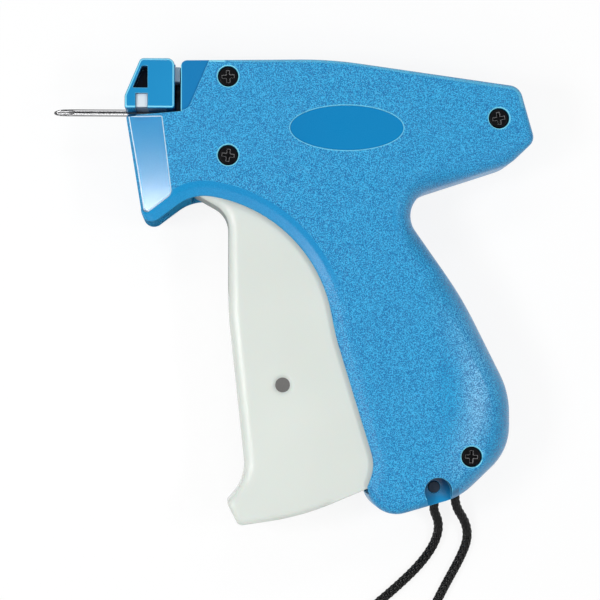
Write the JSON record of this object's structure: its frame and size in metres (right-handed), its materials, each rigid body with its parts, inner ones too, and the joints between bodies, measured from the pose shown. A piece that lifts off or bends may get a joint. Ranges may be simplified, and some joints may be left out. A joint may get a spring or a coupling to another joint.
{
  "type": "garment tag attacher",
  "caption": "Pistol-shaped hand tool that pushes a plastic tag fastener through a hollow needle when its trigger is squeezed, with a wrist cord on the grip.",
  "frame": {"origin": "on the resting right side of the housing, under the drive lever's pivot", "axes": "+Z from the resting side to the side with the screw heads, +Y to the top of the head, -X along the needle"},
  "size_m": [0.1466, 0.2206, 0.028],
  "materials": {
    "body_plastic": "fine textured",
    "gloss_plastic": "gloss",
    "trigger_plastic": "satin",
    "white_plastic": "satin",
    "pale_plastic": "satin",
    "dark_plastic": "satin",
    "needle_steel": "polished",
    "lever_steel": "pressed",
    "pin_steel": "turned",
    "spring_steel": "drawn",
    "lanyard_steel": "blackened",
    "black_screws": "black oxide",
    "black_cord": "braided"
  },
  "bodies": {
    "housing": {"left_shell": "body_plastic", "right_shell": "body_plastic", "head_block": "gloss_plastic", "needle": "needle_steel", "needle_holder": "white_plastic", "clip_track": "dark_plastic", "clip_guide": "pale_plastic", "clip_spring": "spring_steel", "knife_blade": "needle_steel", "rod_guide": "dark_plastic", "feed_spring": "spring_steel", "feed_pivot_pin": "pin_steel", "housing_screws": "black_screws", "trigger_pivot_pin": "pin_steel", "lever_pivot_pin": "pin_steel", "lanyard_pin": "lanyard_steel", "return_spring": "spring_steel", "cord_anchor": "dark_plastic", "wrist_cord": "black_cord"},
    "trigger": {"trigger": "trigger_plastic", "trigger_link_pin": "pin_steel"},
    "link": {"trigger_link": "dark_plastic"},
    "lever": {"drive_lever": "lever_steel", "link_pin": "pin_steel"},
    "carriage": {"slider": "white_plastic", "slider_pin": "pin_steel", "push_rod": "needle_steel"},
    "feed_pawl": {"feed_lever": "lever_steel"},
    "lock": {"needle_lock": "dark_plastic"}
  },
  "joints": [
    {"name": "trigger_pull", "type": "hinge", "parent": "housing", "child": "trigger", "pos_m": [-0.0525, 0.033, 0.014], "axis": [0, 0, 1], "range_deg": [0, 16.5], "stiffness_Nm_per_rad": 1, "springref_deg": -22.92},
    {"name": "link_swing", "type": "hinge", "parent": "trigger", "child": "link", "pos_m": [-0.033, -0.0287, 0.014], "axis": [0, 0, 1], "range_deg": [-22.6, 0]},
    {"name": "lever_swing", "type": "hinge", "parent": "housing", "child": "lever", "pos_m": [0, 0, 0.014], "axis": [0, 0, 1], "range_deg": [0, 41.3], "deforming": ["return_spring"]},
    {"name": "slider_travel", "type": "slide", "parent": "housing", "child": "carriage", "axis": [-1, 0, 0], "range_m": [0, 0.0412]},
    {"name": "feed_swing", "type": "hinge", "parent": "housing", "child": "feed_pawl", "pos_m": [-0.0582, 0.0458, 0.0106], "axis": [0, 0, 1], "range_deg": [-10, 0], "deforming": ["feed_spring"]},
    {"name": "needle_lock_turn", "type": "hinge", "parent": "housing", "child": "lock", "pos_m": [-0.0736, 0.0469, 0.002], "axis": [0, 0, -1], "range_deg": [0, 90]}
  ],
  "couplings": [
    {"joint": "link_swing", "follows": "trigger_pull", "ratio": -1.36},
    {"joint": "lever_swing", "follows": "trigger_pull", "ratio": 2.4927},
    {"joint": "slider_travel", "follows": "trigger_pull", "m_per_rad": 0.14272},
    {"joint": "feed_swing", "follows": "trigger_pull", "ratio": -0.6}
  ]
}
